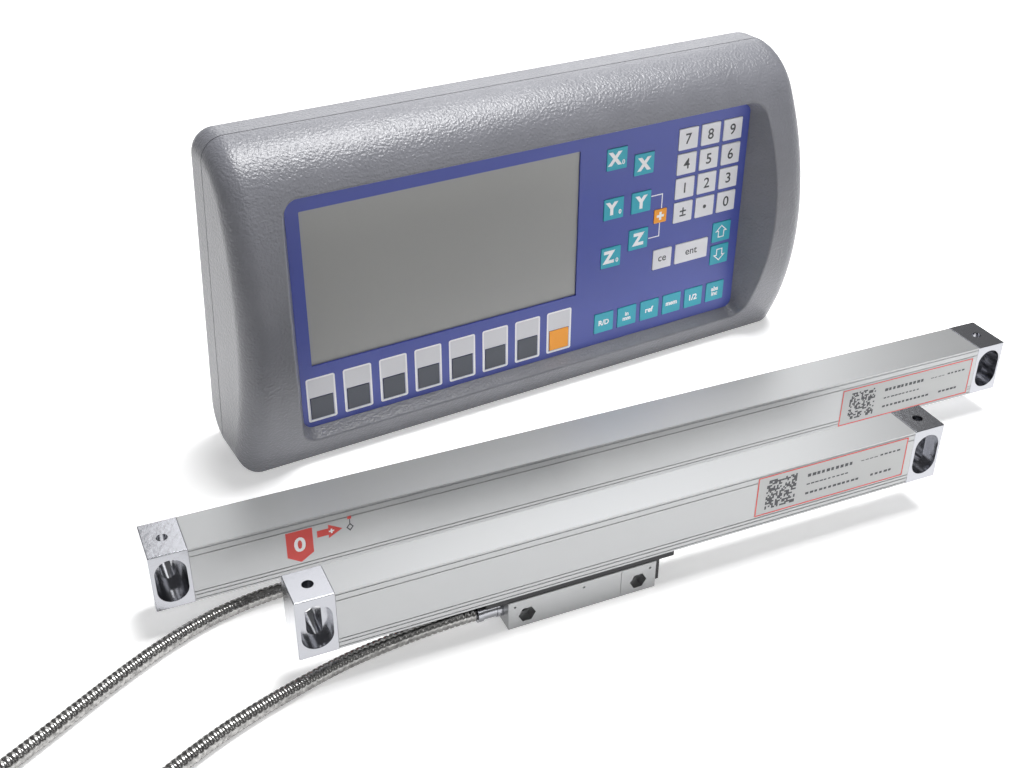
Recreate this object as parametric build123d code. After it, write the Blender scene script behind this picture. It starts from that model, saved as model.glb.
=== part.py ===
from build123d import *
import os
from dataclasses import dataclass
from math import asin, atan2, cos, degrees, pi, radians, sin, sqrt, tan

# Digital readout kit for a vertical milling machine: a console with a screen and keypad, two
# linear scales with sliding reader heads, and an armoured signal cable for each head.
# Millimetres. X runs along both scales, Y from the short scale back to the console, Z up.
# The kit stands on Z = 0, and X = 0, Y = 0 is the middle of its box without the cables.

# ---------------------------------------------------------------- driving dimensions
overall_depth = 242.9            # front of the short scale to the back of the console
scale_spacing = 57.0             # between the fronts of the two scales
fit_gap = 0.1                    # a piece that sits in or on another of the same body
run_gap = 0.3                    # beside a piece that slides

# console
console_x = 5.2
console_yaw = 6.0
case_width_top = 333.0           # the case widens a little downwards
case_width_bottom = 349.0
case_top = 91.0                  # all case heights are from the middle of the keypad
case_bottom = -81.0
case_back = 49.0                 # depths are from the keypad's face, towards the back
case_split = 24.0                # where the bezel meets the rear shell
split_groove = 0.6
case_wall = 3.0
case_corner = 12.0
back_corner = 13.0
bulge_radius = 165.0             # the long curve of the front, seen from the side
bulge_height = -1.0
bulge_front = 21.5
brow_start = 70.0                # height where the brow's tighter curve takes over
pocket_corner = 5.0
pocket_edge = 1.0
pocket_draft = 22.0              # how far the pocket's walls lean open
pocket_mouth = 35.0
ledge = 3.0
ledge_depth = 6.0
joint_lip = 4.0

# keypad and screen
panel_width = 276.0
panel_bottom = -63.6
panel_top = 63.6
panel_thickness = 2.0
window_width = 157.2
window_height = 84.7
window_u = -52.4
window_v = 14.2
window_corner = 0.6
glass_recess = 1.0
module_border = 3.5
module_back = panel_thickness + ledge_depth
board_thickness = 1.6
key_width = 12.7
key_height = 12.2
key_proud = 0.35
key_gap = 0.2
key_flange = 0.8
key_travel = 0.5
key_stem_radius = 2.5
switch_side = 6.0
switch_height = 2.0

# rear of the console
screw_radius = 1.5
screw_head_radius = 2.75
screw_head_height = 2.4
boss_radius = 4.0
boss_inset = 12.5
boss_u = case_width_top / 2 - boss_inset
boss_low = -56.0
boss_high = 70.0
bracket_hole_radius = 2.5
bracket_hole_depth = 10.0
bracket_boss_radius = 7.0
bracket_spacing = 100.0
socket_spacing = 46.0
socket_v = -32.0

# linear scales
block_length = 17.0
block_proud = 0.2                # the end blocks stand this far outside the extrusion
block_plug = 8.0
housing_wall = 2.2
lip_slot = 7.0
groove_width = 0.5
groove_depth = 0.25
slot_width = 6.7
slot_length = 15.3
sink_width = 13.6
sink_length = 22.3
top_hole_radius = 2.5
top_hole_depth = 6.0
glass_thickness = 2.0
glass_height = 12.0
seal_thickness = 0.8
seal_reach = 3.0
blade_thickness = 1.6
blade_length = 44.0
reader_length = 50.0

# reader heads
head_length = 73.0
head_cap = 18.0                  # length of the end cap beyond the seam
head_hole_spacing = 55.0
head_hole_radius = 2.15
nut_flats = 7.2
nut_depth = 4.5
plate_length = 92.0
plate_left = 10.0                # how far the plate reaches past the head's cable end
plate_inset = 0.4
tab_thickness = 1.6
tab_depth = 11.0
gland_length = 12.0
gland_radius = 4.5

# cables
cable_diameter = 7.0
coil_radii = (30.0, 37.0, 44.0)  # middle of the turns
coil_layers = 4
plug_length = 32.0
plug_width = 31.0
plug_height = 15.0
boot_length = 10.0
boot_radius = 4.6
plug_shell = 6.0


@dataclass
class Scale:
    """One linear scale. Its head rests head_shift from the middle of its travel."""

    name: str
    length: float
    depth: float
    height: float
    underside: float
    plate: float
    head_depth: float
    sink_depth: float
    middle_x: float
    front_y: float
    head_shift: float

    @property
    def middle_y(self):
        return self.front_y + self.depth / 2

    @property
    def head_x(self):
        return self.middle_x + self.head_shift

    @property
    def head_height(self):
        return self.underside - self.plate - run_gap

    @property
    def gland_end(self):
        return self.head_x - head_length / 2 - gland_length


short_front = -overall_depth / 2
long_front = short_front + scale_spacing
long_scale = Scale("long", 456.0, 24.5, 29.0, 14.0, 2.2, 20.0, 12.0, 0.0, long_front, 0.0)
short_scale = Scale("short", 320.0, 19.2, 30.0, 18.0, 2.7, 17.0, 5.0, -21.1, short_front, -31.1)
scales = (long_scale, short_scale)

# The keys, from the middle of the keypad: name, across, up, width, height
number_columns = (96.0, 111.2, 126.4)
number_rows = (50.7, 36.2, 21.8, 7.3)
number_names = ("7", "8", "9", "4", "5", "6", "1", "2", "3", "sign", "point", "0")
function_names = ("radius", "inch_mm", "reference", "memory", "half", "absolute")
function_first = 45.6
function_pitch = 15.8
function_row = -50.2
soft_first = -127.2
soft_pitch = 20.4
soft_row = -52.7
soft_side = 12.2


def key_table():
    """Every key's name, place on the keypad, width and height."""
    keys = []
    for i, name in enumerate(number_names):
        place = (number_columns[i % 3], number_rows[i // 3])
        keys.append((f"key_{name}", *place, key_width, key_height))
    for name, u, v in (
        ("x_zero", 49.2, 48.1),
        ("x", 67.2, 41.7),
        ("y_zero", 48.6, 19.4),
        ("y", 66.7, 19.4),
        ("z", 66.2, -2.8),
        ("z_zero", 48.2, -9.7),
        ("clear", 83.8, -19.0),
        ("up", 125.3, -11.5),
        ("down", 125.3, -26.0),
    ):
        keys.append((f"key_{name}", u, v, key_width, key_height))
    keys.append(("key_add", 80.4, 8.2, 8.3, 8.1))
    keys.append(("key_enter", 104.4, -19.0, 22.9, key_height))
    for i, name in enumerate(function_names):
        place = (function_first + i * function_pitch, function_row)
        keys.append((f"key_{name}", *place, key_width, key_height))
    for i in range(8):
        place = (soft_first + i * soft_pitch, soft_row)
        keys.append((f"soft_key_{i + 1}", *place, soft_side, soft_side))
    return keys


# ---------------------------------------------------------------- helpers
def block(x, y, z):
    """A box given by its (low, high) limits along each axis."""
    size = Box(x[1] - x[0], y[1] - y[0], z[1] - z[0])
    return Pos((x[0] + x[1]) / 2, (y[0] + y[1]) / 2, (z[0] + z[1]) / 2) * size


def rod(start, end, radius):
    """A cylinder from one point to another."""
    way = Vector(*end) - Vector(*start)
    plane = Plane(origin=start, z_dir=way)
    return extrude(plane * Circle(radius), way.length)


def through(sketch, y_low, y_high):
    """A prism along Y of a sketch drawn in X and Z."""
    plane = Plane(origin=(0, y_high, 0), x_dir=(1, 0, 0), z_dir=(0, -1, 0))
    return extrude(plane * sketch, y_high - y_low)


def save(name, *solids):
    shape = solids[0] if len(solids) == 1 else Compound(list(solids))
    export_step(shape, f"parts/{name}.step")


def in_console(solid):
    """Moves a piece from the keypad's own frame to its place on the surface."""
    return Pos(console_x, console_y, -case_bottom) * Rot(0, 0, console_yaw) * solid


# ---------------------------------------------------------------- console case
def half_width(height):
    """Half of the case's width at a height."""
    share = (case_top - height) / (case_top - case_bottom)
    return (case_width_top + (case_width_bottom - case_width_top) * share) / 2


def between_ends(solid, inset):
    """Trims a long bar of the case's section to the two sloping ends, moved in by an inset."""
    low = case_bottom - 20
    high = case_top + 20
    lower = half_width(low) - inset
    upper = half_width(high) - inset
    ends = Polygon((-lower, low), (lower, low), (upper, high), (-upper, high), align=None)
    return solid & through(ends, -60, 60)


def bezel_body(inset, back):
    """The bezel's outer form, or its hollow at an inset: a bulging front under a round brow."""
    bottom = case_bottom + inset
    radius = bulge_radius - inset
    centre = Vector(bulge_radius - bulge_front, bulge_height)
    rise = asin((brow_start - bulge_height) / bulge_radius)
    out = Vector(-cos(rise), sin(rise))
    # The brow leaves the bulge at the lip without a corner and meets the flat top at the split
    lip = centre + out * bulge_radius
    reach = Vector(case_split, case_top) - lip
    brow = -reach.dot(reach) / (2 * reach.dot(out))
    turn = lip - out * brow
    brow_radius = brow - inset
    crown = Vector(back, turn.Y + sqrt(brow_radius**2 - (back - turn.X) ** 2))
    half = (atan2(crown.Y - turn.Y, crown.X - turn.X) + pi - rise) / 2
    middle = turn + Vector(cos(half), sin(half)) * brow_radius
    inner_lip = turn + out * brow_radius
    front = centre - Vector(radius, 0)
    foot = Vector(centre.X - sqrt(radius**2 - (bottom - centre.Y) ** 2), bottom)
    outline = ThreePointArc(crown, middle, inner_lip)
    outline += ThreePointArc(inner_lip, front, foot)
    outline += Line(foot, Vector(back, bottom))
    outline += Line(Vector(back, bottom), crown)
    side = Plane.YZ * make_face(outline)
    return between_ends(extrude(side, case_width_bottom, both=True), inset)


def rear_body(inset, front):
    """The rear shell's outer form, or its hollow: rounded at the back, most of all below."""
    top = case_top - inset
    bottom = case_bottom + inset
    back = case_back - inset
    upper = back_corner - inset
    lower = case_back - case_split - split_groove - inset
    slant = sqrt(0.5)
    outline = Line((front, bottom), (front, top)) + Line((front, top), (back - upper, top))
    outline += ThreePointArc(
        (back - upper, top),
        (back - upper + upper * slant, top - upper + upper * slant),
        (back, top - upper),
    )
    outline += Line((back, top - upper), (back, bottom + lower))
    outline += ThreePointArc(
        (back, bottom + lower),
        (back - lower + lower * slant, bottom + lower - lower * slant),
        (back - lower, bottom),
    )
    if back - lower > front:
        outline += Line((back - lower, bottom), (front, bottom))
    side = Plane.YZ * make_face(outline)
    return between_ends(extrude(side, case_width_bottom, both=True), inset)


def rounded_case(solid, radius, split):
    """Rounds the two end faces' edges, leaving the open edge at the split sharp."""
    ends = [solid.faces().sort_by(Axis.X)[0], solid.faces().sort_by(Axis.X)[-1]]
    edges = [e for end in ends for e in end.edges()]
    kept = [e for e in edges if abs(e.center().Y - split) > 0.01]
    return fillet(kept, radius)


def frame_prism(inset, low, high):
    """The case's front view with rounded corners, inset, between two depths."""
    top = case_top - inset
    bottom = case_bottom + inset
    upper = half_width(top) - inset
    lower = half_width(bottom) - inset
    sketch = Polygon((-lower, bottom), (lower, bottom), (upper, top), (-upper, top), align=None)
    return through(fillet(sketch.vertices(), case_corner - inset), low, high)


def panel_prism(margin, low, high):
    """The keypad's outline, with a margin, between two depths."""
    height = panel_top - panel_bottom + 2 * margin
    sketch = Pos(0, (panel_top + panel_bottom) / 2) * RectangleRounded(
        panel_width + 2 * margin, height, pocket_corner + margin
    )
    return through(sketch, low, high)


def pocket(margin):
    """The pocket in front of the keypad, its walls leaning open, with a margin."""
    spread = pocket_mouth * tan(radians(pocket_draft))
    height = panel_top - panel_bottom
    sections = []
    for depth, grow in ((0, margin), (pocket_mouth, margin + spread)):
        outline = RectangleRounded(
            panel_width + 2 * grow, height + 2 * grow, pocket_corner + grow
        )
        middle = (0, -depth, (panel_top + panel_bottom) / 2)
        sections.append(Plane(origin=middle, x_dir=(1, 0, 0), z_dir=(0, -1, 0)) * outline)
    return loft(sections, ruled=True)


def boss_places():
    return [(u, v) for u in (-boss_u, boss_u) for v in (boss_low, boss_high)]


def make_bezel():
    """Front half of the cast case, with the pocket and ledge that the keypad sits in."""
    outer = rounded_case(bezel_body(0, case_split), case_corner, case_split)
    hollow = rounded_case(
        bezel_body(case_wall, case_split + 2), case_corner - case_wall, case_split + 2
    )
    seat = panel_prism(0, 0, panel_thickness)
    front = outer - pocket(0) - seat
    rim = [
        e
        for e in front.edges()
        if e.bounding_box().max.Y < -3
        and abs(e.center().X) < panel_width / 2 + 12
        and abs(e.center().Z) < brow_start - 1
    ]
    front = fillet(rim, pocket_edge)
    walls = pocket(case_wall) + panel_prism(case_wall, 0, panel_thickness + ledge_depth)
    bezel = front - (hollow - walls)
    bezel -= panel_prism(-ledge, 0, case_split)
    for u, v in boss_places():
        boss = rod((u, -bulge_front, v), (u, case_split, v), boss_radius) & outer
        bezel += boss - rod((u, 4, v), (u, case_split + 1, v), screw_radius + fit_gap / 2)
    return bezel


def bracket_places():
    return [(u, 0.0) for u in (-bracket_spacing / 2, bracket_spacing / 2)]


def socket_places():
    return [(i * socket_spacing, socket_v) for i in (-1, 0, 1)]


def make_rear_shell():
    """Rear half of the case: a rounded tray with screw pillars, a locating lip and sockets."""
    front = case_split + split_groove
    inner_back = case_back - case_wall
    outer = rounded_case(rear_body(0, front), case_corner, front)
    hollow = rounded_case(
        rear_body(case_wall, front - 2), case_corner - case_wall, front - 2
    )
    shell = outer - hollow
    lip = frame_prism(case_wall + 0.2, case_split - joint_lip, front)
    lip &= bezel_body(case_wall + 0.2, front + 0.5)
    lip += frame_prism(case_wall - 0.5, front, front + 3)
    shell += lip - frame_prism(case_wall + 2.4, case_split - joint_lip - 1, front + 4)
    for u, v in boss_places():
        shell += rod((u, case_split, v), (u, inner_back + 1, v), boss_radius) & (
            outer + frame_prism(0, case_split - 1, front)
        )
        shell -= rod((u, case_split - 1, v), (u, case_back, v), screw_radius + 0.2)
        shell -= rod(
            (u, case_back - screw_head_height - 0.4, v),
            (u, case_back + 1, v),
            screw_head_radius + 0.25,
        )
    for u, v in bracket_places():
        shell += rod(
            (u, case_back - bracket_hole_depth - 2, v), (u, case_back, v), bracket_boss_radius
        )
        shell -= rod(
            (u, case_back - bracket_hole_depth, v), (u, case_back + 1, v), bracket_hole_radius
        )
    for u, v in socket_places():
        shell -= block(
            (u - 10, u + 10), (inner_back - 1, case_back + 1), (v - 5.5, v + 5.5)
        )
    power_u = 2 * socket_spacing
    shell -= rod((power_u, inner_back - 1, socket_v), (power_u, case_back + 1, socket_v), 5.0)
    return shell


def make_shell_screws():
    screws = []
    for u, v in boss_places():
        seat = case_back - screw_head_height - 0.4
        shank = rod((u, 8, v), (u, seat + 0.5, v), screw_radius)
        head = rod((u, seat, v), (u, seat + screw_head_height, v), screw_head_radius)
        drive = through(Pos(u, v) * Rectangle(3.4, 0.7), seat + 1.4, seat + 4)
        cross = through(Pos(u, v) * Rectangle(0.7, 3.4), seat + 1.4, seat + 4)
        screws.append(shank + head - drive - cross)
    return screws


def make_rear_sockets():
    """Three nine-pin sockets for the scales and a round one for power, through the back wall."""
    sockets = []
    inner = case_back - case_wall - 6
    for u, v in socket_places():
        body = through(Pos(u, v) * Rectangle(19.6, 10.6), inner, case_back)
        flange = through(Pos(u, v) * RectangleRounded(31, 12.5, 1), case_back, case_back + 1)
        nose = through(
            Pos(u, v) * RectangleRounded(17.4, 8.6, 2), case_back + 1, case_back + 6
        )
        socket = body + flange + nose
        for row, count in ((1.4, 5), (-1.4, 4)):
            for i in range(count):
                pin = u + (i - (count - 1) / 2) * 2.76
                socket -= rod((pin, case_back + 1, v + row), (pin, case_back + 7, v + row), 0.6)
        sockets.append(socket)
    u = 2 * socket_spacing
    power = rod((u, inner, socket_v), (u, case_back, socket_v), 4.9)
    power += rod((u, case_back, socket_v), (u, case_back + 2, socket_v), 6.5)
    power -= rod((u, case_back - 6, socket_v), (u, case_back + 3, socket_v), 2.8)
    power += rod((u, case_back - 7, socket_v), (u, case_back + 1, socket_v), 1.0)
    sockets.append(power)
    return sockets


# ---------------------------------------------------------------- keypad and screen
def make_panel(keys):
    """Front plate with the screen's window and a hole for each key."""
    panel = panel_prism(-fit_gap, 0, panel_thickness)
    window = RectangleRounded(window_width, window_height, window_corner)
    panel -= through(Pos(window_u, window_v) * window, -1, panel_thickness + 1)
    for _, u, v, width, height in keys:
        hole = Rectangle(width + 2 * key_gap, height + 2 * key_gap)
        panel -= through(Pos(u, v) * hole, -1, panel_thickness + 1)
    return panel


def make_key(u, v, width, height):
    """A cap that stands just proud, a flange behind the plate and a stem over its switch."""
    back = panel_thickness + 0.2
    stem_end = module_back - switch_height - key_travel - 0.1
    key = through(Pos(u, v) * RectangleRounded(width, height, 0.5), -key_proud, back)
    flange = Rectangle(width + 2 * key_flange, height + 2 * key_flange)
    key += through(Pos(u, v) * flange, back, back + 0.8)
    key += rod((u, back, v), (u, stem_end, v), key_stem_radius)
    return key


def make_display():
    """Glass that fills the window, on a wider module behind the plate."""
    glass = RectangleRounded(
        window_width - 2 * fit_gap, window_height - 2 * fit_gap, window_corner
    )
    module = Rectangle(window_width + 2 * module_border, window_height + 2 * module_border)
    display = through(Pos(window_u, window_v) * glass, glass_recess, panel_thickness + 0.5)
    display += through(Pos(window_u, window_v) * module, panel_thickness, module_back)
    return display


def make_board(keys):
    """Circuit board on the ledge's back, with a switch under each key."""
    margin = -0.5
    height = panel_top - panel_bottom + 2 * margin
    sketch = Pos(0, (panel_top + panel_bottom) / 2) * Rectangle(
        panel_width + 2 * margin, height
    )
    board = through(sketch, module_back, module_back + board_thickness)
    for _, u, v, _, _ in keys:
        switch = Pos(u, v) * Rectangle(switch_side, switch_side)
        board += through(switch, module_back - switch_height, module_back + 0.5)
    return board


# ---------------------------------------------------------------- linear scales
def make_housing(scale):
    """Aluminium extrusion, open below along the lip slot, with fine grooves on its front."""
    half = scale.length / 2 - block_length
    x = (scale.middle_x - half, scale.middle_x + half)
    y = (scale.front_y + block_proud, scale.front_y + scale.depth - block_proud)
    z = (scale.underside + block_proud, scale.underside + scale.height - block_proud)
    housing = block(x, y, z)
    inner_x = (x[0] - 1, x[1] + 1)
    wall = housing_wall
    housing -= block(inner_x, (y[0] + wall, y[1] - wall), (z[0] + wall, z[1] - wall))
    mid = scale.middle_y
    housing -= block(inner_x, (mid - lip_slot / 2, mid + lip_slot / 2), (z[0] - 1, z[0] + wall + 1))
    for from_top in (1.2, 4.2):
        low = z[1] - from_top - groove_width / 2
        housing -= block(inner_x, (y[0] - 1, y[0] + groove_depth), (low, low + groove_width))
    for from_bottom in (1.2, 3.4, 5.2):
        low = z[0] + from_bottom - groove_width / 2
        housing -= block(inner_x, (y[0] - 1, y[0] + groove_depth), (low, low + groove_width))
    return housing


def make_end_blocks(scale):
    """Cast end blocks: a sunk mounting slot from the front, a top hole and a plug inside."""
    blocks = []
    wall = housing_wall + block_proud + fit_gap / 2
    y = (scale.front_y, scale.front_y + scale.depth)
    z = (scale.underside, scale.underside + scale.height)
    for side in (-1, 1):
        outer_end = scale.middle_x + side * scale.length / 2
        inner_end = outer_end - side * block_length
        body = block(sorted((outer_end, inner_end)), y, z)
        body = fillet(body.edges(), 0.4)
        plug_end = inner_end - side * block_plug
        plug = block(
            sorted((inner_end + side, plug_end)),
            (y[0] + wall, y[1] - wall),
            (z[0] + wall + seal_thickness + fit_gap, z[1] - wall),
        )
        middle = ((outer_end + inner_end) / 2, (z[0] + z[1]) / 2)
        slot = Pos(*middle) * SlotOverall(slot_length, slot_width, rotation=90)
        sink = Pos(*middle) * SlotOverall(sink_length, sink_width, rotation=90)
        body += plug
        body -= through(slot, y[0] - 1, y[1] + 1)
        body -= through(sink, y[0] - 1, y[0] + scale.sink_depth)
        hole = (middle[0], scale.middle_y, z[1] - top_hole_depth)
        body -= rod(hole, (hole[0], hole[1], z[1] + 1), top_hole_radius)
        blocks.append(body)
    return blocks


def make_glass(scale):
    """The graduated glass strip, bonded to the inside of the back wall."""
    half = scale.length / 2 - block_length - block_plug - 1
    back = scale.front_y + scale.depth - block_proud - housing_wall
    middle_z = scale.underside + scale.height / 2
    return block(
        (scale.middle_x - half, scale.middle_x + half),
        (back - glass_thickness, back),
        (middle_z - glass_height / 2 + 2, middle_z + glass_height / 2 + 2),
    )


def make_seals(scale):
    """Two rubber lips that close the slot up to the blade."""
    half = scale.length / 2 - block_length
    floor = scale.underside + block_proud + housing_wall
    seals = []
    for side in (-1, 1):
        edge = scale.middle_y + side * (blade_thickness / 2 + run_gap)
        root = scale.middle_y + side * (lip_slot / 2 + seal_reach / 2)
        seals.append(
            block(
                (scale.middle_x - half, scale.middle_x + half),
                sorted((edge, root)),
                (floor, floor + seal_thickness),
            )
        )
    return seals


def make_carriage(scale):
    """Black plate on the head, the blade through the slot and the reader inside."""
    left = scale.head_x - head_length / 2 - plate_left
    top = scale.underside - run_gap
    low = top - scale.plate
    depth = scale.head_depth - 2 * plate_inset
    front = head_front(scale) + plate_inset
    carriage = block((left, left + plate_length), (front, front + depth), (low, top))
    right = scale.head_x + head_length / 2
    tab = min(tab_depth, low - 3)
    carriage += block(
        (right, right + tab_thickness), (front, front + depth), (low - tab, low + 0.5)
    )
    mid = scale.middle_y
    blade = blade_thickness / 2
    inside = scale.underside + block_proud + housing_wall + seal_thickness + run_gap
    carriage += block(
        (scale.head_x - blade_length / 2, scale.head_x + blade_length / 2),
        (mid - blade, mid + blade),
        (top - 0.5, inside + 1),
    )
    y = (
        scale.front_y + block_proud + housing_wall + run_gap,
        scale.front_y + scale.depth - block_proud - housing_wall - glass_thickness - run_gap,
    )
    z_top = scale.underside + scale.height - block_proud - housing_wall - run_gap
    carriage += block(
        (scale.head_x - reader_length / 2, scale.head_x + reader_length / 2), y, (inside, z_top)
    )
    return carriage


# ---------------------------------------------------------------- reader heads
def head_front(scale):
    """The head's front face stands just behind the scale's."""
    return scale.front_y + 0.6


def make_head(scale):
    """Reader head: an aluminium block with two nut pockets over through holes."""
    x = (scale.head_x - head_length / 2, scale.head_x + head_length / 2)
    y = (head_front(scale), head_front(scale) + scale.head_depth)
    height = scale.underside - run_gap - scale.plate
    head = fillet(block(x, y, (0, height)).edges(), 0.4)
    level = 0.42 * height
    for side in (-1, 1):
        u = scale.head_x + side * head_hole_spacing / 2
        pocket = Pos(u, level) * RegularPolygon(nut_flats / 2, 6, major_radius=False)
        head -= through(pocket, y[0] - 1, y[0] + nut_depth)
        head -= rod((u, y[0] - 1, level), (u, y[1] + 1, level), head_hole_radius)
    seam = x[1] - head_cap
    head -= block((seam, seam + 0.3), (y[0] - 1, y[0] + 0.3), (-1, height + 1))
    for u, v in ((3.2, 0.8), (head_length / 2, 0.8), (head_length - 3.2, 0.8)):
        place = (x[0] + u, y[0] - 1, v * height)
        head -= rod(place, (place[0], y[0] + 0.5, place[2]), 0.6)
    return head


def gland_axis(scale):
    """Height and depth of the cable's way out of the head."""
    height = scale.underside - run_gap - scale.plate
    return head_front(scale) + scale.head_depth / 2, height / 2


def make_gland(scale):
    """Turned sleeve that holds the cable: a wide collar, a neck and a rolled end."""
    y, z = gland_axis(scale)
    base = scale.head_x - head_length / 2
    gland = rod((base, y, z), (base - gland_length, y, z), gland_radius - 0.5)
    gland += rod((base, y, z), (base - 3, y, z), gland_radius)
    gland += rod((scale.gland_end + 2.5, y, z), (scale.gland_end, y, z), gland_radius)
    return gland


# ---------------------------------------------------------------- cables
# Points of the free cables: across and along from the end of the head's gland, and height.
# The first part runs from the gland to the coil, and the second from the coil to the plug.
long_route = [
    (-35, -0.6, 4.6),
    (-58, -2.0, 3.5),
    (-88, -3.6, 3.5),
    (-115, -4.4, 3.5),
    (-142, -6.8, 3.5),
    (-166, -13.7, 3.5),
    (-191, -26.3, 3.5),
    (-216, -41.9, 3.5),
    (-241, -58.1, 3.5),
    (-263, -71.3, 3.5),
    (-286.2, -84.4, 3.5),
]
short_route = [
    (-24, 1.6, 5.0),
    (-42, 1.2, 3.5),
    (-62, -2.2, 3.5),
    (-85, -9.0, 3.5),
    (-110, -17.6, 3.5),
    (-134, -29.2, 3.5),
    (-158, -43.2, 3.5),
    (-180, -56.8, 3.5),
    (-196, -66.9, 3.5),
]
long_tail = [
    (-347.6, -25.1, 24.5),
    (-339.1, -8.7, 21.8),
    (-332.1, 7.1, 13.4),
    (-326.9, 20.9, 8.1),
    (-323.1, 32.9, 7.5),
]
short_tail = [
    (-179.4, -148.2, 24.5),
    (-161.7, -151.2, 21.8),
    (-144.9, -154.6, 13.4),
    (-130.7, -158.0, 8.1),
    (-118.3, -161.4, 7.5),
]
coil_places = {"long": (-309.5, -47.1), "short": (-173.3, -104.6)}
gland_leads = {"long": 12.0, "short": 9.0}


def cable_points(scale):
    """The cable's two free parts in place, the first leaving the gland along its axis."""
    y, z = gland_axis(scale)
    x = scale.gland_end
    route, tail = {"long": (long_route, long_tail), "short": (short_route, short_tail)}[
        scale.name
    ]
    first = [(x, y, z), (x - gland_leads[scale.name], y, z)]
    first += [(x + dx, y + dy, height) for dx, dy, height in route]
    return first, [(x + dx, y + dy, height) for dx, dy, height in tail]


def corner_radii(points):
    """The largest arc that each corner's two runs allow."""
    radii = []
    for before, corner, after in zip(points, points[1:], points[2:]):
        arriving = Vector(*corner) - Vector(*before)
        leaving = Vector(*after) - Vector(*corner)
        turn = radians(arriving.get_angle(leaving))
        run = min(arriving.length, leaving.length)
        radii.append(0.45 * run / tan(turn / 2))
    return radii


def make_tube(points):
    """A round tube along straight runs joined by tangent arcs."""
    radii = corner_radii(points)
    path = FilletPolyline(*points, radius=radii)
    start = Plane(origin=points[0], z_dir=Vector(*points[1]) - Vector(*points[0]))
    tube = sweep(start * Circle(cable_diameter / 2), path)
    expected = pi * cable_diameter**2 / 4 * path.length
    print("least arc", round(min(radii), 1), "length", round(path.length, 1), end=" ")
    print("volume ratio", round(tube.volume / expected, 4))
    return tube


def make_coil(scale):
    """The outer form of the put-away turns: a round-edged ring that lies flat."""
    radius = cable_diameter / 2
    inner = min(coil_radii) - radius
    width = max(coil_radii) + radius - inner
    height = coil_layers * cable_diameter
    section = Pos(inner + width / 2, height / 2) * RectangleRounded(width, height, radius - 0.1)
    ring = revolve(Plane.XZ * section, Axis.Z)
    across, along = coil_places[scale.name]
    return Pos(scale.gland_end + across, gland_axis(scale)[0] + along, 0) * ring


def make_plug(scale):
    """Nine-pin plug in a flat hood, with a round boot for the cable, lying on the surface."""
    before, entry = cable_points(scale)[1][-2:]
    heading = degrees(atan2(entry[1] - before[1], entry[0] - before[0]))
    middle = plug_height / 2
    hood_end = boot_length + plug_length
    hood = block(
        (boot_length, hood_end), (-plug_width / 2, plug_width / 2), (0, plug_height)
    )
    hood = fillet(hood.edges().filter_by(Axis.Z), 3)
    hood = chamfer(hood.faces().sort_by(Axis.Z)[-1].edges(), 0.8)
    plug = hood + rod((0, 0, middle), (boot_length + 1, 0, middle), boot_radius)
    nose = block((hood_end - 1, hood_end + plug_shell), (-8.7, 8.7), (middle - 4.3, middle + 4.3))
    plug += fillet(nose.edges().filter_by(Axis.X), 1.8)
    for side in (-1, 1):
        plug += rod((hood_end, side * 12.5, middle), (hood_end + 4, side * 12.5, middle), 1.5)
    return Pos(entry[0], entry[1], 0) * Rot(0, 0, heading) * plug


# ---------------------------------------------------------------- write the pieces
os.makedirs("parts", exist_ok=True)
keys = key_table()
rear_shell = make_rear_shell()
# The turned case's rearmost point is at the back of the kit
console_reach = (Rot(0, 0, console_yaw) * rear_shell).bounding_box().max.Y
console_y = overall_depth / 2 - console_reach
print("console reach", round(console_reach, 4))
save("front_bezel", in_console(make_bezel()))
save("rear_shell", in_console(rear_shell))
save("shell_screws", *[in_console(s) for s in make_shell_screws()])
save("rear_sockets", *[in_console(s) for s in make_rear_sockets()])
save("keypad_panel", in_console(make_panel(keys)))
save("screen_module", in_console(make_display()))
save("circuit_board", in_console(make_board(keys)))
for key, *place in keys:
    save(key, in_console(make_key(*place)))

for scale in scales:
    save(f"{scale.name}_scale_housing", make_housing(scale))
    save(f"{scale.name}_reader_head", make_head(scale))
    save(f"{scale.name}_reader_carriage", make_carriage(scale))
    save(f"{scale.name}_cable_gland", make_gland(scale))
    save(f"{scale.name}_cable", *[make_tube(points) for points in cable_points(scale)])
    save(f"{scale.name}_cable_coil", make_coil(scale))
save("end_blocks", *[b for scale in scales for b in make_end_blocks(scale)])
save("glass_strips", *[make_glass(scale) for scale in scales])
save("lip_seals", *[seal for scale in scales for seal in make_seals(scale)])
save("cable_plugs", *[make_plug(scale) for scale in scales])
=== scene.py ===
# %% [markdown]
# A digital readout kit for a vertical milling machine: a console, two linear scales and
# their armoured cables. The measured solids come packed as a fixed frame, and this script
# gives them their finishes, legends, labels and cables.

from math import cos, pi, radians, sin

import bpy
import numpy as np
from mathutils import Matrix, Vector


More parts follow.
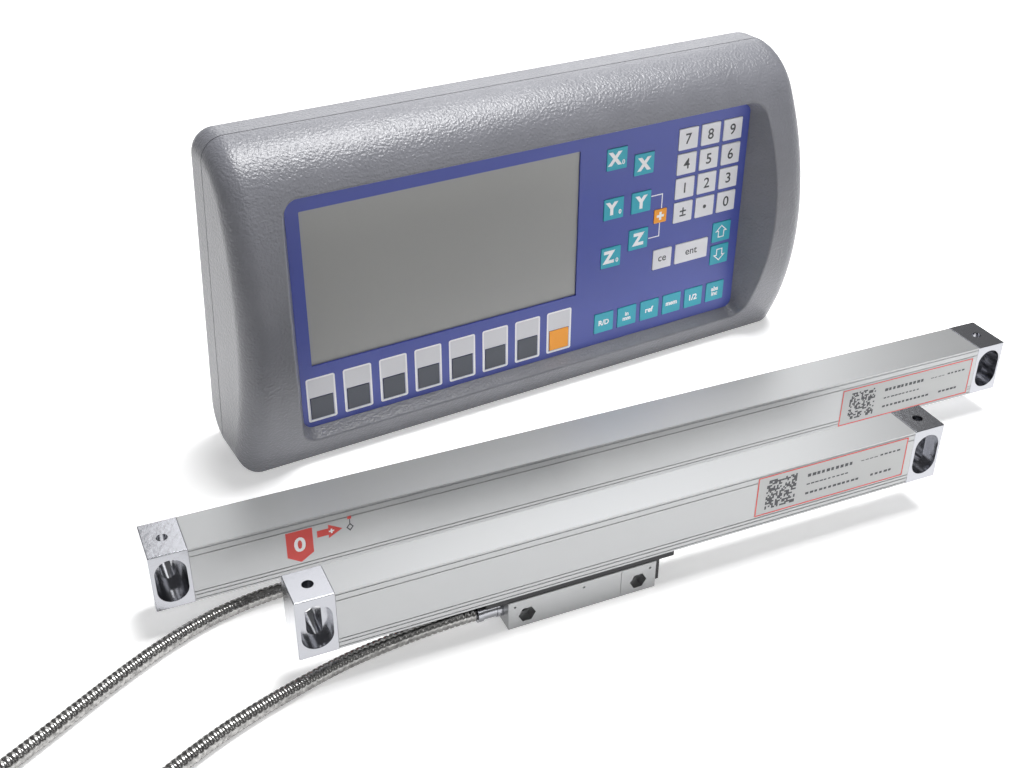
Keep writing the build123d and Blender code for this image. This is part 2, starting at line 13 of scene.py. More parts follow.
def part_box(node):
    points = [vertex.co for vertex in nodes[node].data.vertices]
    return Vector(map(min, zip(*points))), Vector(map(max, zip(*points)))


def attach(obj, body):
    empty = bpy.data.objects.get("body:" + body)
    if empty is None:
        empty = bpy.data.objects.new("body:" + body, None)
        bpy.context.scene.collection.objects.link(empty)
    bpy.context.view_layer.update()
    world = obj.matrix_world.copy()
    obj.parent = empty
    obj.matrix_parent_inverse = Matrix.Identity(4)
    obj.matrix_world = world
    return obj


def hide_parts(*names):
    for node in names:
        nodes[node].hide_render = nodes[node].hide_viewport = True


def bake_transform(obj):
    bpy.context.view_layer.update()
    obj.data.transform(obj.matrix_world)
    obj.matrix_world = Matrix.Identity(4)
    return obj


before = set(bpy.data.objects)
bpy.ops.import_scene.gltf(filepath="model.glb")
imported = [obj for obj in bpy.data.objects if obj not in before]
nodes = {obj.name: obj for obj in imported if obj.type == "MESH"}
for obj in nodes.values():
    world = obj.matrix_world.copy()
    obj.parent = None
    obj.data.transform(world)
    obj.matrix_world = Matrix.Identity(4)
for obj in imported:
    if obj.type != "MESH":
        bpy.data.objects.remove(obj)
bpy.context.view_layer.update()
scene = bpy.context.scene

# %% [markdown]
# A lens of 45 mm keeps both scales and the console in one gentle perspective.

# %% Camera
MM = 0.001


def turned_axes(pitch, roll, yaw):
    """Right and up of a camera that turns right by yaw, looks down by pitch and rolls."""
    ahead = Vector((sin(yaw) * cos(pitch), cos(yaw) * cos(pitch), -sin(pitch)))
    right = Vector((cos(yaw), -sin(yaw), 0))
    up = right.cross(ahead)
    return right * cos(roll) + up * sin(roll), up * cos(roll) - right * sin(roll), ahead


right, up, ahead = turned_axes(radians(31.76), radians(0.36), radians(24.13))
camera = bpy.data.objects.new("camera", bpy.data.cameras.new("camera"))
scene.collection.objects.link(camera)
camera.matrix_world = Matrix.Translation(Vector((-259.4, -504.25, 386.3)) * MM) @ (
    Matrix((right, up, -ahead)).transposed().to_4x4()
)
camera.data.sensor_width = 36.0
camera.data.lens = 45.13
camera.data.clip_start = 0.01
scene.camera = camera

# %% [markdown]
# Each cable is 7 mm interlocked steel hose, three metres long. It leaves its reader head,
# runs over the surface and is put away in a flat coil, three turns across and four high.
# One NURBS spline carries the whole length, and the hose's rings follow it.

# %% Cable routes
HOSE = 7.0
COIL_RADII = (44.0, 37.0, 30.0)
POINTS_PER_TURN = 16


def coil_turns(centre, start, turns, way):
    """Control points of turns that spiral in and out, layer on layer.

    The radius steps by one hose width over the last part of each turn. A spline of order 3
    cuts inside its points, so they stand further out by the same share.
    """
    count = int(round(turns * POINTS_PER_TURN)) + 1
    turn = np.arange(count) / POINTS_PER_TURN
    slot = np.minimum(turn.astype(int), 11)
    step = np.clip((turn - slot) * 4 - 3, 0, 1)
    radius_of = np.array([*COIL_RADII, *COIL_RADII[::-1]] * 2 + [COIL_RADII[-1]])
    radius = radius_of[slot] * (1 - step) + radius_of[slot + 1] * step
    height = (slot // 3) * (1 - step) + ((slot + 1) // 3) * step
    height = HOSE / 2 + HOSE * np.minimum(height, 3)
    share = (6 + 2 * cos(2 * pi / POINTS_PER_TURN)) / 8
    angle = start + way * 2 * pi * turn
    x = centre[0] + radius / share * np.cos(angle)
    y = centre[1] + radius / share * np.sin(angle)
    return np.column_stack([x, y, height])


def cable_line(name, points):
    """The points in millimetres that a smooth NURBS spline through a route gives."""
    curve = bpy.data.curves.new(name, "CURVE")
    curve.dimensions = "3D"
    spline = curve.splines.new("NURBS")
    spline.points.add(len(points) - 1)
    co = np.column_stack([np.array(points) * MM, np.ones(len(points))])
    spline.points.foreach_set("co", co.ravel())
    spline.order_u = 3
    spline.use_endpoint_u = True
    spline.resolution_u = 8
    holder = bpy.data.objects.new(name, curve)
    scene.collection.objects.link(holder)
    line = bpy.data.meshes.new_from_object(holder)
    co = np.zeros(len(line.vertices) * 3)
    line.vertices.foreach_get("co", co)
    bpy.data.objects.remove(holder)
    return co.reshape(-1, 3) / MM


def gland_end(name):
    """The middle of the gland's outer end, where the cable starts."""
    low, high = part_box(f"{name}_cable_gland")
    return np.array([low.x, (low.y + high.y) / 2, (low.z + high.z) / 2]) / MM


long_route = [
    (-35, -0.6, 4.6),
    (-58, -2.0, 3.5),
    (-88, -3.6, 3.5),
    (-115, -4.4, 3.5),
    (-142, -6.8, 3.5),
    (-166, -13.7, 3.5),
    (-191, -26.3, 3.5),
    (-216, -41.9, 3.5),
    (-241, -58.1, 3.5),
    (-263, -71.3, 3.5),
    (-277, -79.2, 3.5),
]
short_route = [
    (-24, 1.6, 5.0),
    (-42, 1.2, 3.5),
    (-62, -2.2, 3.5),
    (-85, -9.0, 3.5),
    (-110, -17.6, 3.5),
    (-134, -29.2, 3.5),
    (-158, -43.2, 3.5),
    (-180, -56.8, 3.5),
    (-189, -62.4, 3.5),
]
long_tail = [(-339.1, -8.7, 21.8), (-332.1, 7.1, 13.4), (-326.9, 20.9, 8.1), (-323.1, 32.9, 7.5)]
short_tail = [
    (-161.7, -151.2, 21.8),
    (-144.9, -154.6, 13.4),
    (-130.7, -158.0, 8.1),
    (-118.3, -161.4, 7.5),
]


def cable_points(name, lead, route, centre, start, turns, way, tail):
    """Every control point of a cable, from its gland to its plug."""
    x, y, z = gland_end(name)

    def placed(points):
        return [(x + dx, y + dy, height) for dx, dy, height in points]

    points = [(x, y, z), (x - lead, y, z), *placed(route)]
    turns = coil_turns((x + centre[0], y + centre[1]), start, turns, way)
    return np.vstack([points, turns, placed(tail)])


long_points = cable_points(
    "long", 12.0, long_route, (-309.5, -47.1), radians(-58.0), 11 + 7 / 16, -1, long_tail
)
short_points = cable_points(
    "short", 9.0, short_route, (-173.3, -104.6), radians(121.0), 11 + 6 / 16, 1, short_tail
)
long_line = cable_line("long_line", long_points)
short_line = cable_line("short_line", short_points)
for name, line in (("long", long_line), ("short", short_line)):
    print(name, "cable", np.linalg.norm(np.diff(line, axis=0), axis=1).sum().round(1), "mm")

# %% [markdown]
# Interlocked hose is a steel strip wound into rings that hook into each other, so it shows
# flat crowns with a groove between them. The hose here is one tube whose radius dips once
# per ring. A real ring is about 2.6 mm wide, which is drawn at its true size.

# %% Hose
RING_PITCH = 2.6
RING_PHASES = np.array([0.0, 0.16, 0.5, 0.84])
RING_RADII = np.array([2.95, 3.44, 3.5, 3.44])


def grid_mesh(name, points, closed_around=True, caps=True):
    """A mesh from a grid of points: rows along the piece, columns around it."""
    rows, columns = points.shape[:2]
    row, column = np.meshgrid(np.arange(rows - 1), np.arange(columns), indexing="ij")
    if not closed_around:
        row, column = row[:, :-1], column[:, :-1]
    after = (column + 1) % columns
    quads = np.stack(
        [
            row * columns + column,
            row * columns + after,
            (row + 1) * columns + after,
            (row + 1) * columns + column,
        ],
        axis=-1,
    ).reshape(-1, 4)
    faces = quads.tolist()
    if caps:
        faces.append(list(range(columns))[::-1])
        faces.append(list(range((rows - 1) * columns, rows * columns)))
    mesh = bpy.data.meshes.new(name)
    mesh.from_pydata((points.reshape(-1, 3) * MM).tolist(), [], faces)
    mesh.shade_smooth()
    return mesh


def hose_mesh(name, line):
    """A ringed tube: at each place along the line, a circle square to the line.

    The circle's radius is the ring profile at that place's share of a ring's pitch.
    """
    step = np.linalg.norm(np.diff(line, axis=0), axis=1)
    along = np.concatenate([[0], np.cumsum(step)])
    rings = int(along[-1] / RING_PITCH)
    place = ((np.arange(rings)[:, None] + RING_PHASES) * RING_PITCH).ravel()
    radius = np.tile(RING_RADII, rings)
    centre = np.column_stack([np.interp(place, along, line[:, i]) for i in range(3)])
    tangent = np.gradient(centre, axis=0)
    tangent /= np.linalg.norm(tangent, axis=1, keepdims=True)
    side = np.cross((0, 0, 1), tangent)
    side /= np.linalg.norm(side, axis=1, keepdims=True)
    top = np.cross(tangent, side)
    angle = np.linspace(0, 2 * pi, 16, endpoint=False)
    circle = side[:, None] * np.cos(angle)[:, None] + top[:, None] * np.sin(angle)[:, None]
    return grid_mesh(name, centre[:, None] + radius[:, None, None] * circle)


def new_piece(name, mesh, material, body=None):
    """An object for a finished mesh, which moves with a body of the frame."""
    piece = bpy.data.objects.new(name, mesh)
    scene.collection.objects.link(piece)
    mesh.materials.append(material)
    if body:
        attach(piece, body)
    return piece


# %% [markdown]
# Every finish below starts from the real material. Colours are written as sRGB hex values
# and turned to the linear values that the shader works with. One helper adds a node.

# %% Material helpers
def colour(code):
    """An sRGB hex code as linear red, green, blue and alpha."""
    parts = [int(code[i : i + 2], 16) / 255 for i in (1, 3, 5)]
    linear = [c / 12.92 if c <= 0.04045 else ((c + 0.055) / 1.055) ** 2.4 for c in parts]
    return (*linear, 1.0)


def add(tree, kind, settings=(), links=()):
    """Adds a node. Settings go to its inputs or properties, and links feed its inputs."""
    node = tree.nodes.new(kind)
    for name, value in dict(settings).items():
        if name in node.inputs:
            node.inputs[name].default_value = value
        else:
            setattr(node, name, value)
    for name, source in dict(links).items():
        tree.links.new(source, node.inputs[name])
    return node


def finish(name, code, roughness, metallic=0.0, **more):
    """A new material with its shader set, ready for its texture: (material, tree, shader)."""
    material = bpy.data.materials.new(name)
    material.use_nodes = True
    shader = material.node_tree.nodes["Principled BSDF"]
    shader.inputs["Base Color"].default_value = colour(code)
    shader.inputs["Roughness"].default_value = roughness
    shader.inputs["Metallic"].default_value = metallic
    for socket, value in more.items():
        shader.inputs[socket.replace("_", " ")].default_value = value
    return material, material.node_tree, shader


def place_of(tree, scale=(1, 1, 1)):
    """Object coordinates in millimetres, stretched by a scale."""
    coordinates = add(tree, "ShaderNodeTexCoord")
    per_mm = tuple(share / MM for share in scale)
    object_space = {"Vector": coordinates.outputs["Object"]}
    mapping = add(tree, "ShaderNodeMapping", {"Scale": per_mm}, object_space)
    return mapping.outputs["Vector"]


def bump(tree, shader, height, depth_mm, strength=1.0):
    """Feeds a height pattern to the shader's normal, with its depth in millimetres."""
    settings = {"Strength": strength, "Distance": depth_mm * MM}
    node = add(tree, "ShaderNodeBump", settings, {"Height": height})
    tree.links.new(node.outputs["Normal"], shader.inputs["Normal"])


def mottle(tree, shader, vector, low, high, scale, detail=3.0):
    """Shifts the colour slowly between two codes, as handling and casting leave it."""
    noise = add(tree, "ShaderNodeTexNoise", {"Scale": scale, "Detail": detail}, {"Vector": vector})
    ramp = add(tree, "ShaderNodeValToRGB", (), {"Fac": noise.outputs["Fac"]})
    ramp.color_ramp.elements[0].color = colour(low)
    ramp.color_ramp.elements[1].color = colour(high)
    ramp.color_ramp.elements[0].position = 0.3
    ramp.color_ramp.elements[1].position = 0.7
    tree.links.new(ramp.outputs["Color"], shader.inputs["Base Color"])
    return noise


# %% [markdown]
# The case is cast aluminium with a grey powder coat. The powder melts into an orange-peel
# skin with bumps a little over a millimetre apart, which breaks up its highlights.

# %% Powder coat
powder_coat, tree, shader = finish("grey_powder_coat", "#6D6E74", 0.32)
vector = place_of(tree)
mottle(tree, shader, vector, "#6A6B71", "#707177", 0.05)
peel = add(
    tree,
    "ShaderNodeTexNoise",
    {"Scale": 0.75, "Detail": 2.0, "Roughness": 0.5},
    {"Vector": vector},
)
bump(tree, shader, peel.outputs["Fac"], 0.45)

# %% [markdown]
# The scales and heads are extruded aluminium with a satin anodised skin. Drawing through
# the die leaves hair-fine lines along the length, so the pattern is stretched along X.

# %% Anodised aluminium
anodised, tree, shader = finish("satin_anodised_aluminium", "#A5A6A7", 0.34, 0.75)
lines = add(
    tree, "ShaderNodeTexNoise", {"Scale": 3.0, "Detail": 3.0}, {"Vector": place_of(tree, (0.004, 1, 1))}
)
ramp = add(tree, "ShaderNodeMapRange", {"To Min": 0.30, "To Max": 0.40}, {"Value": lines.outputs["Fac"]})
tree.links.new(ramp.outputs["Result"], shader.inputs["Roughness"])
bump(tree, shader, lines.outputs["Fac"], 0.012)

# %% [markdown]
# The end blocks and glands are bright plated metal. Their castings show faint waves.

# %% Bright plating and steel
plated, tree, shader = finish("bright_plated_zinc", "#A4A5AA", 0.2, 1.0)
waves = add(tree, "ShaderNodeTexNoise", {"Scale": 0.35, "Detail": 3.0}, {"Vector": place_of(tree)})
bump(tree, shader, waves.outputs["Fac"], 0.06)

armour, tree, shader = finish("stainless_hose", "#A9A8A6", 0.24, 1.0)
mottle(tree, shader, place_of(tree), "#757473", "#B6B5B3", 0.6)

steel, tree, shader = finish("zinc_plated_steel", "#A9AAAC", 0.35, 1.0)
mottle(tree, shader, place_of(tree), "#9B9C9E", "#B6B7B9", 0.8)

black_paint, tree, shader = finish("black_painted_plate", "#0C0C12", 0.5)
grain = add(tree, "ShaderNodeTexNoise", {"Scale": 2.0, "Detail": 2.0}, {"Vector": place_of(tree)})
bump(tree, shader, grain.outputs["Fac"], 0.03)

# %% [markdown]
# The keypad's face is a printed polyester sheet with a fine grain. The caps are moulded
# plastic, satin, each colour for one kind of key.

# %% Plastics
def satin_plastic(name, code, roughness=0.42, grain_scale=4.0, depth=0.012, metallic=0.0):
    """Moulded or printed plastic: even colour with a grain too fine to see as dots."""
    material, tree, shader = finish(name, code, roughness, metallic)
    noise = add(
        tree, "ShaderNodeTexNoise", {"Scale": grain_scale, "Detail": 2.0}, {"Vector": place_of(tree)}
    )
    bump(tree, shader, noise.outputs["Fac"], depth)
    return material


polyester_blue = satin_plastic("blue_printed_polyester", "#424E9E", 0.38)
teal = satin_plastic("teal_key_plastic", "#22A2B6")
white = satin_plastic("white_key_plastic", "#DCDCE0")
slate = satin_plastic("slate_key_plastic", "#464A54")
orange = satin_plastic("orange_key_plastic", "#F29B14")
print_white = satin_plastic("white_screen_ink", "#EDEDEE", 0.5)
print_pale = satin_plastic("pale_grey_screen_ink", "#D2D2D6", 0.5)
print_dark = satin_plastic("dark_screen_ink", "#3A3B40", 0.5)
print_red = satin_plastic("red_label_ink", "#CF3A32", 0.45)
label_film = satin_plastic("silver_label_film", "#A3A4A4", 0.36, metallic=0.4)
black_plastic = satin_plastic("black_moulded_plastic", "#1B1C1F", 0.5, 2.0, 0.03)
rubber = satin_plastic("black_lip_rubber", "#161616", 0.7, 2.0, 0.03)
board_green = satin_plastic("green_solder_mask", "#1D5A34", 0.3)
screen_grey = satin_plastic("grey_anti_glare_screen", "#989896", 0.30, 5.0, 0.01)
glass, tree, shader = finish("grating_glass", "#D8E6E8", 0.05)
shader.inputs["Transmission Weight"].default_value = 0.8
waves = add(tree, "ShaderNodeTexNoise", {"Scale": 0.5}, {"Vector": place_of(tree)})
bump(tree, shader, waves.outputs["Fac"], 0.004)

# %% Finishes for the frame's pieces
WHITE_KEYS = {f"key_{n}" for n in "0123456789"} | {"key_sign", "key_point", "key_clear", "key_enter"}
finishes = {
    "front_bezel": powder_coat,
    "rear_shell": powder_coat,
    "keypad_panel": polyester_blue,
    "screen_module": screen_grey,
    "circuit_board": board_green,
    "rear_sockets": steel,
    "shell_screws": steel,
    "end_blocks": plated,
    "glass_strips": glass,
    "lip_seals": rubber,
    "cable_plugs": black_plastic,
}
for name in nodes:
    if name.endswith(("_scale_housing", "_reader_head")):
        finishes[name] = anodised
    elif name.endswith("_reader_carriage"):
        finishes[name] = black_paint
    elif name.endswith("_cable_gland"):
        finishes[name] = plated
    elif name in ("key_add", "soft_key_8"):
        finishes[name] = orange
    elif name.startswith("soft_key"):
        finishes[name] = slate
    elif name.startswith("key_"):
        finishes[name] = white if name in WHITE_KEYS else teal
for name, material in finishes.items():
    nodes[name].data.materials.clear()
    nodes[name].data.materials.append(material)
print("finished", len(finishes), "of", len(nodes))

# %% [markdown]
# The hose follows its spline from the gland to the plug, as one fixed piece.

# %% Cables
def lay_cable(name, line):
    """The hose of one scale, laid along its line as one fixed piece; the packed cable and coil are
    hidden.
    """
    mesh = hose_mesh(f"{name}_armoured_cable", line)
    piece = new_piece(f"{name}_armoured_cable", mesh, armour)
    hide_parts(f"{name}_cable", f"{name}_cable_coil")
    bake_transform(piece)
    print(name, "hose faces", len(mesh.polygons))


lay_cable("long", long_line)
lay_cable("short", short_line)

# %% [markdown]
# Legends are screen-printed, so they stand only a few hundredths of a millimetre proud.
# They are built flat in the keypad's own upright plane and then turned into place.

# %% The keypad's plane
KEY_FACE = -0.35
INK = 0.03
panel_low, panel_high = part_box("keypad_panel")
PANEL_HALF = Vector((0, 0, 1)) * MM  # the panel is 2 mm thick, and its face is in front
KEYPAD = (
    Matrix.Translation((panel_low + panel_high) / 2)
    @ Matrix.Rotation(radians(6.0), 4, "Z")
    @ Matrix.Rotation(radians(90), 4, "X")
    @ Matrix.Translation(PANEL_HALF)
)
print("keypad at", KEYPAD.translation)


def text_mesh(name, words, height, bold=0.0, narrow=1.0):
    """A word as a thin solid with its middle at 0, in a plain sans letter. Height is in mm."""
    curve = bpy.data.curves.new(name, "FONT")
    curve.body = words
    curve.size = height * MM / 0.72
    curve.align_x = "CENTER"
    curve.align_y = "CENTER"
    curve.extrude = INK * MM / 2
    curve.offset = bold * MM
    curve.space_line = 0.8
    curve.resolution_u = 4
    holder = bpy.data.objects.new(name, curve)
    scene.collection.objects.link(holder)
    mesh = bpy.data.meshes.new_from_object(holder)
    bpy.data.objects.remove(holder)
    co = np.zeros(len(mesh.vertices) * 3)
    mesh.vertices.foreach_get("co", co)
    co = co.reshape(-1, 3)
    middle = (co.min(axis=0) + co.max(axis=0)) / 2
    mesh.transform(Matrix.Diagonal((narrow, 1, 1, 1)) @ Matrix.Translation(-Vector(middle)))
    return mesh


def outline_mesh(name, outline, thickness=INK):
    """A flat shape as a thin solid: its outline at the front and again at the back."""
    outline = np.array(outline, float)
    count = len(outline)
    front = np.column_stack([outline, np.full(count, thickness / 2)]) * MM
    back = np.column_stack([outline, np.full(count, -thickness / 2)]) * MM
    around = np.arange(count)
    after = (around + 1) % count
    sides = np.column_stack([around, around + count, after + count, after]).tolist()
    mesh = bpy.data.meshes.new(name)
    faces = [around.tolist(), (around[::-1] + count).tolist(), *sides]
    mesh.from_pydata(np.vstack([front, back]).tolist(), [], faces)
    return mesh


def rounded_loop(width, height, radius, middle=(0, 0), arc=5):
    """Points around a rounded rectangle: a quarter circle at each corner."""
    quarter = np.linspace(0, pi / 2, arc)
    parts = []
    for turn, sx, sy in ((0, 1, 1), (1, -1, 1), (2, -1, -1), (3, 1, -1)):
        angle = quarter + turn * pi / 2
        corner = (middle[0] + sx * (width / 2 - radius), middle[1] + sy * (height / 2 - radius))
        parts.append(
            np.column_stack([corner[0] + radius * np.cos(angle), corner[1] + radius * np.sin(angle)])
        )
    return np.vstack(parts)


def ring_mesh(name, outer, inner, thickness=INK):
    """A flat ring between two loops of as many points, as a thin solid."""
    front, back = thickness / 2, -thickness / 2
    loops = [(outer, back), (outer, front), (inner, front), (inner, back)]
    points = np.stack([np.column_stack([loop, np.full(len(loop), z)]) for loop, z in loops])
    count = len(outer)
    column = np.arange(count)
    after = (column + 1) % count
    faces = []
    for row in range(4):
        below, above = row * count, (row + 1) % 4 * count
        faces += np.column_stack(
            [below + column, below + after, above + after, above + column]
        ).tolist()
    mesh = bpy.data.meshes.new(name)
    mesh.from_pydata((points.reshape(-1, 3) * MM).tolist(), [], faces)
    return mesh


def joined(name, meshes):
    """Several meshes as one."""
    points, faces, start = [], [], 0
    for mesh in meshes:
        co = np.zeros(len(mesh.vertices) * 3)
        mesh.vertices.foreach_get("co", co)
        points.append(co.reshape(-1, 3))
        faces += [[start + v for v in face.vertices] for face in mesh.polygons]
        start += len(mesh.vertices)
    result = bpy.data.meshes.new(name)
    result.from_pydata(np.vstack(points).tolist(), [], faces)
    return result


def shifted(mesh, x, y, z=0.0):
    """A mesh moved in its own plane, in millimetres."""
    mesh.transform(Matrix.Translation(Vector((x, y, z)) * MM))
    return mesh


# %% [markdown]
# The number keys carry dark figures on white caps, and the axis keys white letters on
# teal. Each legend rides on its own key, so it goes in with the key.

# %% Key places and legends
NUMBER_U = (96.0, 111.2, 126.4)
NUMBER_V = (50.7, 36.2, 21.8, 7.3)
FUNCTION_U, FUNCTION_PITCH, FUNCTION_V = 45.6, 15.8, -50.2
NUMBERS = ("7", "8", "9", "4", "5", "6", "1", "2", "3", "±", "•", "0")
NUMBER_KEYS = ("7", "8", "9", "4", "5", "6", "1", "2", "3", "sign", "point", "0")
legends = {}
for i, (words, key) in enumerate(zip(NUMBERS, NUMBER_KEYS)):
    mesh = text_mesh(f"legend_{key}", words, 6.2, 0.1)
    legends[f"key_{key}"] = (NUMBER_U[i % 3], NUMBER_V[i // 3], mesh, print_dark)
for key, letter, u, v in (
    ("x", "X", 67.2, 41.7),
    ("y", "Y", 66.7, 19.4),
    ("z", "Z", 66.2, -2.8),
):
    legends[f"key_{key}"] = (u, v, text_mesh(f"legend_{key}", letter, 7.0, 0.55), print_white)
for key, letter, u, v in (
    ("x_zero", "X", 49.2, 48.1),
    ("y_zero", "Y", 48.6, 19.4),
    ("z_zero", "Z", 48.2, -9.7),
):
    big = shifted(text_mesh("big", letter, 7.0, 0.55), -1.3, 0.3)
    small = shifted(text_mesh("small", "0", 2.6, 0.1), 4.2, -2.4)
    legends[f"key_{key}"] = (u, v, joined(f"legend_{key}", [big, small]), print_white)
legends["key_clear"] = (83.8, -19.0, text_mesh("legend_clear", "ce", 4.6, 0.06), print_dark)
legends["key_enter"] = (104.4, -19.0, text_mesh("legend_enter", "ent", 4.6, 0.06), print_dark)
for i, (key, words, size) in enumerate(
    (
        ("radius", "R/D", 3.2),
        ("inch_mm", "in\nmm", 2.6),
        ("reference", "ref", 3.4),
        ("memory", "mem", 2.9),
        ("half", "1/2", 3.6),
        ("absolute", "abs\ninc", 2.8),
    )
):
    mesh = text_mesh(f"legend_{key}", words, size, 0.14)
    legends[f"key_{key}"] = (FUNCTION_U + FUNCTION_PITCH * i, FUNCTION_V, mesh, print_white)
plus = [
    (-2.4, -0.75),
    (-0.75, -0.75),
    (-0.75, -2.4),
    (0.75, -2.4),
    (0.75, -0.75),
    (2.4, -0.75),
    (2.4, 0.75),
    (0.75, 0.75),
    (0.75, 2.4),
    (-0.75, 2.4),
    (-0.75, 0.75),
    (-2.4, 0.75),
]
legends["key_add"] = (80.4, 8.2, outline_mesh("legend_add", plus), print_white)
arrow = np.array([(-2.2, -3.6), (2.2, -3.6), (2.2, 0.2), (4.3, 0.2), (0, 4.2), (-4.3, 0.2), (-2.2, 0.2)])
inner_arrow = np.array(
    [(-1.6, -3.0), (1.6, -3.0), (1.6, 0.8), (2.8, 0.8), (0, 3.4), (-2.8, 0.8), (-1.6, 0.8)]
)
legends["key_up"] = (125.3, -11.5, ring_mesh("legend_up", arrow, inner_arrow), print_white)
down = ring_mesh("legend_down", -arrow, -inner_arrow)
legends["key_down"] = (125.3, -26.0, down, print_white)

for key, (u, v, mesh, ink) in legends.items():
    mesh.transform(KEYPAD @ Matrix.Translation(Vector((u, v, -KEY_FACE + INK / 2)) * MM))
    piece = new_piece(mesh.name, mesh, ink, f"{key}_cap")
print("legends", len(legends))

# %% [markdown]
# Each soft key sits low in a printed white frame with a pale field above it, where the
# screen's caption for it belongs. The ink has a hole for the cap to pass.

# %% Printed frames and bracket
SOFT_U, SOFT_PITCH, CAP_V = -127.2, 20.4, -52.7
FRAME_V = -47.6
borders, fields = [], []
for i in range(8):
    u = SOFT_U + SOFT_PITCH * i
    outer = rounded_loop(15.9, 25.8, 1.2, (u, FRAME_V))
    inner = rounded_loop(14.1, 24.0, 0.5, (u, FRAME_V))
    hole = rounded_loop(12.9, 12.9, 0.3, (u, CAP_V))
    borders.append(ring_mesh("border", outer, inner))
    fields.append(ring_mesh("field", inner, hole))


def print_on_panel(name, meshes, ink):
    """Ink on the keypad's face."""
    mesh = joined(name, meshes)
    mesh.transform(KEYPAD @ Matrix.Translation((0, 0, INK / 2 * MM)))
    new_piece(name, mesh, ink, "kit")


def bar(u0, v0, u1, v1):
    """The outline of an upright or level bar between two corners."""
    return [(u0, v0), (u1, v0), (u1, v1), (u0, v1)]


bracket = [
    bar(73.6, 20.9, 81.4, 21.5),
    bar(80.8, 12.6, 81.4, 20.9),
    bar(80.2, -3.9, 80.8, 3.8),
    bar(73.4, -4.5, 80.8, -3.9),
]
print_on_panel("soft_key_borders", borders, print_white)
print_on_panel("soft_key_fields", fields, print_pale)
print_on_panel("axis_bracket", [outline_mesh("bar", b) for b in bracket], print_white)

# %% [markdown]
# Each scale has a silver film label with a thin red border near its right end. A square
# of random cells and a few bars stand for its print, and carry no words. The long scale
# also has a red pointer mark where its zero lies.

# %% Labels on the scales
def on_front(x, z, front):
    """From a flat drawing to the front face of a scale."""
    turn = Matrix.Rotation(radians(90), 4, "X")
    return Matrix.Translation(Vector((x, front, z)) * MM) @ turn


def print_on_scale(name, meshes, ink, place, lift):
    """Film or ink on the front of a scale, lifted by a few hundredths of a millimetre."""
    mesh = joined(name, meshes)
    mesh.transform(place @ Matrix.Translation((0, 0, lift * MM)))
    new_piece(name, mesh, ink, "kit")


CELLS = 18  # along each side of the random square


def make_label(name, x, z, front, width, height):
    """Film, border, random square and bars, centred at x and z."""
    place = on_front(x, z, front)
    rng = np.random.default_rng(7 if name == "long" else 11)
    film = outline_mesh("film", rounded_loop(width, height, 0.4))
    border_outside = rounded_loop(width - 0.8, height - 0.8, 0.3)
    border_inside = rounded_loop(width - 2.0, height - 2.0, 0.3)
    border = ring_mesh("border", border_outside, border_inside)
    left = -width / 2 + 5.5
    low = -height / 2 + 3.2
    cell = (height - 6.4) / CELLS
    dark = rng.random((CELLS, CELLS)) < 0.5
    cells = []
    for i, j in zip(*np.nonzero(dark)):
        u = left + i * cell
        v = low + j * cell
        cells.append(outline_mesh("cell", bar(u, v, left + (i + 1) * cell, low + (j + 1) * cell)))
    bars = []
    text_left = left + CELLS * cell + 6
    for u, v, long_, tall in (
        (0, 0.80, 26, 1.7),
        (30, 0.83, 10, 0.4),
        (41, 0.83, 12, 0.9),
        (0, 0.50, 24, 0.7),
        (0, 0.14, 31, 1.2),
        (37, 0.14, 13, 1.2),
    ):
        count = max(1, int(long_ / 2.4))
        pitch = long_ / count
        for k in range(count):
            start = text_left + u + k * pitch
            bottom = low + v * (height - 7.4)
            wide = pitch * rng.uniform(0.55, 0.82)
            bars.append(outline_mesh("bar", bar(start, bottom, start + wide, bottom + tall)))
    print_on_scale(f"{name}_label_film", [film], label_film, place, INK / 2)
    print_on_scale(f"{name}_label_border", [border], print_red, place, INK * 1.5)
    print_on_scale(f"{name}_label_square", cells + bars, print_dark, place, INK * 1.5)


long_low, long_high = (np.array(c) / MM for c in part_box("long_scale_housing"))
short_low, short_high = (np.array(c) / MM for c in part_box("short_scale_housing"))
make_label("short", 76.3, 35.2, short_low[1], 84.5, 22.6)
make_label("long", 166.2, 26.6, long_low[1], 85.0, 22.6)

pointer = on_front(-163.6, 29.5, long_low[1])
shield = [(-6, 8.2), (-6, -5.2), (0, -9.2), (6, -5.2), (6, 8.2)]
print_on_scale("zero_shield", [outline_mesh("shield", shield[::-1])], print_red, pointer, INK / 2)
zero = shifted(text_mesh("zero", "0", 7.5, 0.3), 0, 0.6)
print_on_scale("zero_figure", [zero], print_white, pointer, INK * 1.5)
arrow_right = [(8, 1.8), (13.2, 1.8), (13.2, 0), (19.6, 3.6), (13.2, 7.4), (13.2, 5.4), (8, 5.4)]
square = bar(22.1, 7.6, 23.9, 9.2)
print_on_scale(
    "zero_arrow",
    [outline_mesh("arrow", arrow_right), outline_mesh("square", square)],
    print_red,
    pointer,
    INK / 2,
)
plus_small = shifted(outline_mesh("plus", np.array(plus) * 0.5), 14.6, 3.6)
print_on_scale("zero_plus", [plus_small], print_white, pointer, INK * 1.5)
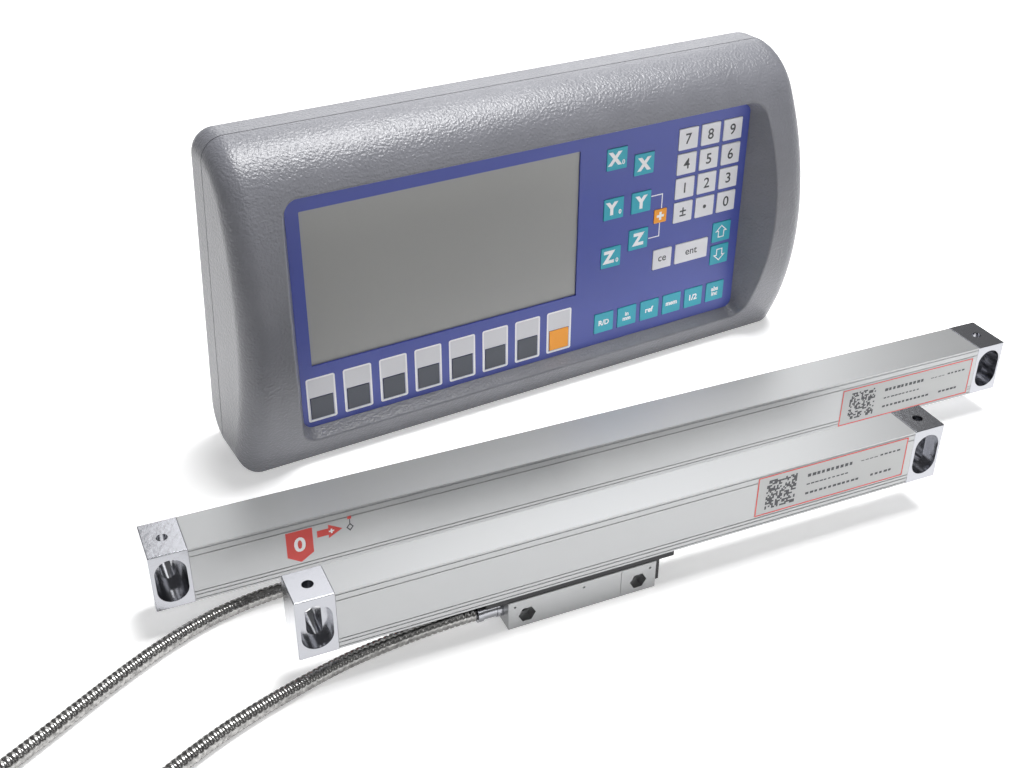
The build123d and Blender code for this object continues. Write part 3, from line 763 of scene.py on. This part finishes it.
diamond = np.array([(1.7, 0), (0, 2.2), (-1.7, 0), (0, -2.2)])
stem = outline_mesh("stem", bar(22.9, 5.2, 23.3, 7.6))
mark = shifted(ring_mesh("diamond", diamond, diamond * 0.6), 23.1, 3.2)
print_on_scale("zero_diamond", [stem, mark], print_dark, pointer, INK / 2)

# %% [markdown]
# A pale floor and soft lights, as in a white studio. A light overhead draws the bright
# line along the console's brow, a broad one behind brightens the tops of the scales, and a
# weak one fills the front. The floor glows a little, which keeps the shadows light.

# %% Floor and lights
REACH = 6  # metres from the middle of the floor to its edges
floor = bpy.data.meshes.new("floor")
corners = [(-REACH, -REACH, 0), (REACH, -REACH, 0), (REACH, REACH, 0), (-REACH, REACH, 0)]
floor.from_pydata(corners, [], [(0, 1, 2, 3)])
FLOOR_GLOW = 0.4
pale, tree, shader = finish("pale_floor", "#F4F4F4", 0.9, Emission_Strength=FLOOR_GLOW)
shader.inputs["Emission Color"].default_value = colour("#FFFFFF")
grain = add(tree, "ShaderNodeTexNoise", {"Scale": 2.0}, {"Vector": place_of(tree)})
bump(tree, shader, grain.outputs["Fac"], 0.02)
floor_piece = bpy.data.objects.new("floor", floor)
scene.collection.objects.link(floor_piece)
floor.materials.append(pale)


def soft_light(name, place, target, size, power):
    """A square area light that faces a point. Places are in metres."""
    light = bpy.data.lights.new(name, "AREA")
    light.size = size
    light.energy = power
    lamp = bpy.data.objects.new(name, light)
    scene.collection.objects.link(lamp)
    lamp.location = place
    lamp.rotation_euler = (Vector(place) - Vector(target)).to_track_quat("Z", "Y").to_euler()


soft_light("overhead", (0.25, 0.1, 1.3), (0.1, 0.05, 0), 0.6, 27)
soft_light("behind", (0.6, 1.5, 1.0), (0, 0, 0), 1.4, 13)
soft_light("front", (0.5, -1.4, 1.1), (0, 0, 0.05), 0.6, 2)
world = bpy.data.worlds.new("studio")
world.use_nodes = True
background = world.node_tree.nodes["Background"]
background.inputs["Color"].default_value = colour("#FFFFFF")
background.inputs["Strength"].default_value = 0.2
scene.world = world
scene.view_settings.view_transform = "Standard"
